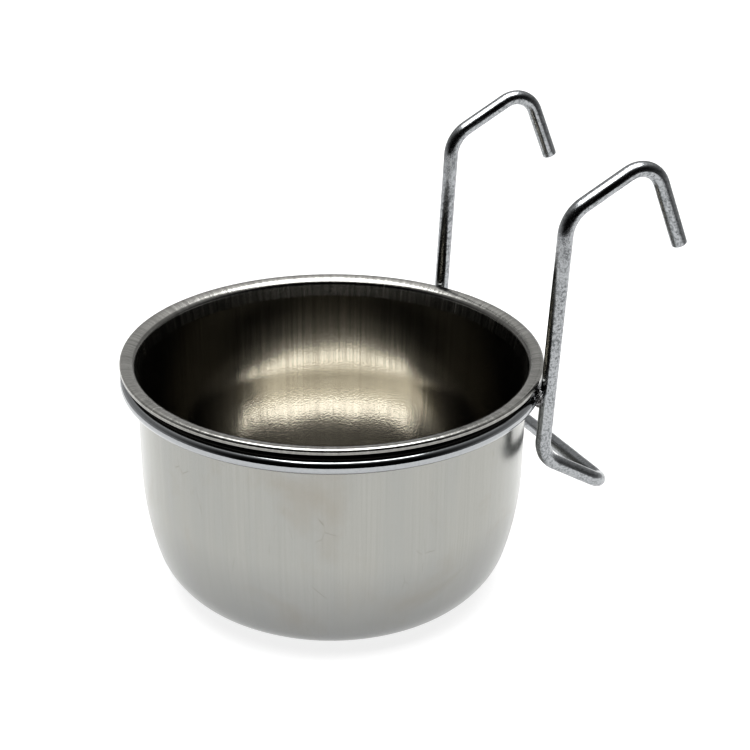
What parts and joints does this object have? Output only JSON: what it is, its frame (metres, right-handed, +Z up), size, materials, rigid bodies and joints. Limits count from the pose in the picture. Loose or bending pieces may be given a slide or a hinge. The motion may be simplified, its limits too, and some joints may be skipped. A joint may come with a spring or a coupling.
{
  "type": "hook-on feeding cup",
  "caption": "Round pressed steel feeding cup resting in a welded wire ring, with a bent wire hanger whose hooks go over a cage wire and whose cross bar leans on the cage.",
  "frame": {"origin": "underside of the two hooks' bends, midway between the hooks, where the cage wire lies", "axes": "+X points out of the cup towards the cage, +Z up along the cup's axis, -Y towards the left hook"},
  "size_m": [0.1201, 0.0974, 0.1059],
  "materials": {
    "stainless_sheet": "satin polished stainless sheet",
    "plated_wire": "bright nickel-plated drawn steel wire",
    "weld_metal": "plated over, lumpy and darker than the wire"
  },
  "bodies": {
    "holder": {"holder_ring": "plated_wire", "hanger_wire": "plated_wire", "left_leg_weld": "weld_metal", "right_leg_weld": "weld_metal"},
    "cup": {"cup": "stainless_sheet"}
  },
  "joints": [
    {"name": "cup_lift", "type": "slide", "parent": "holder", "child": "cup", "axis": [0, 0, 1], "range_m": [0, 0.06]}
  ]
}
